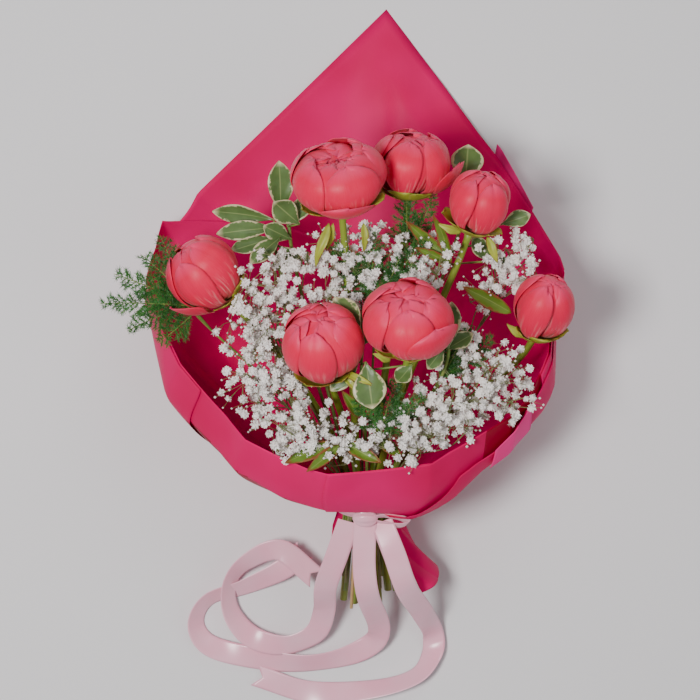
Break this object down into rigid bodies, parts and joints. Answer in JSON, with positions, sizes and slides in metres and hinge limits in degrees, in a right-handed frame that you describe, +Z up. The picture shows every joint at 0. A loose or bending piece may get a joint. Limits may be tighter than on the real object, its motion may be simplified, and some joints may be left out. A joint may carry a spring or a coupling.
{
  "type": "bunch of peonies",
  "caption": "Hand-tied bunch of half-open coral peonies with gypsophila, fern and variegated foliage, wrapped in pink film and tied with a satin ribbon, lying on its back.",
  "frame": {"origin": "centre of the footprint of everything but the loose ribbon tails, on the surface the bunch lies on", "axes": "+Y from the tie towards the flower heads, +Z up from the surface, +X to the right when seen from above with the heads at the top"},
  "size_m": [0.4344, 0.6938, 0.2924],
  "materials": {
    "petal": "satin",
    "sepal": "matt",
    "stem": "satin",
    "peony_leaf": "matt",
    "gypsophila": "matt",
    "fern": "matt",
    "pittosporum": "satin",
    "stick": "matt",
    "film": "satin",
    "ribbon": "satin"
  },
  "bodies": {
    "root": {"film_front_left": "film", "film_front_right": "film", "film_left_wing": "film", "film_right_wing": "film", "film_back": "film", "film_front_band": "film", "peony_1_bloom": "petal", "peony_1_calyx": "sepal", "peony_2_bloom": "petal", "peony_2_calyx": "sepal", "peony_3_bloom": "petal", "peony_3_calyx": "sepal", "peony_4_bloom": "petal", "peony_4_calyx": "sepal", "peony_5_bloom": "petal", "peony_5_calyx": "sepal", "peony_6_bloom": "petal", "peony_6_calyx": "sepal", "peony_7_bloom": "petal", "peony_7_calyx": "sepal", "peony_1_guard_petal": "petal", "peony_2_guard_petal": "petal", "peony_4_guard_petal": "petal", "peony_6_guard_petal": "petal", "peony_1_stem": "stem", "peony_2_stem": "stem", "peony_3_stem": "stem", "peony_4_stem": "stem", "peony_5_stem": "stem", "peony_6_stem": "stem", "peony_7_stem": "stem", "pittosporum_1": "pittosporum", "pittosporum_2": "pittosporum", "pittosporum_3": "pittosporum", "pittosporum_4": "pittosporum", "pittosporum_5": "pittosporum", "peony_foliage": "peony_leaf", "fern_left": "fern", "fern_middle": "fern", "fern_top": "fern", "fern_right": "fern", "fern_front": "fern", "gypsophila_1": "gypsophila", "gypsophila_2": "gypsophila", "gypsophila_3": "gypsophila", "gypsophila_4": "gypsophila", "gypsophila_5": "gypsophila", "gypsophila_6": "gypsophila", "gypsophila_7": "gypsophila", "gypsophila_8": "gypsophila", "wooden_stick": "stick", "ribbon_turns": "ribbon", "ribbon_knot": "ribbon", "ribbon_tail_right": "ribbon", "ribbon_tail_middle": "ribbon", "ribbon_tail_left": "ribbon"}
  },
  "joints": []
}
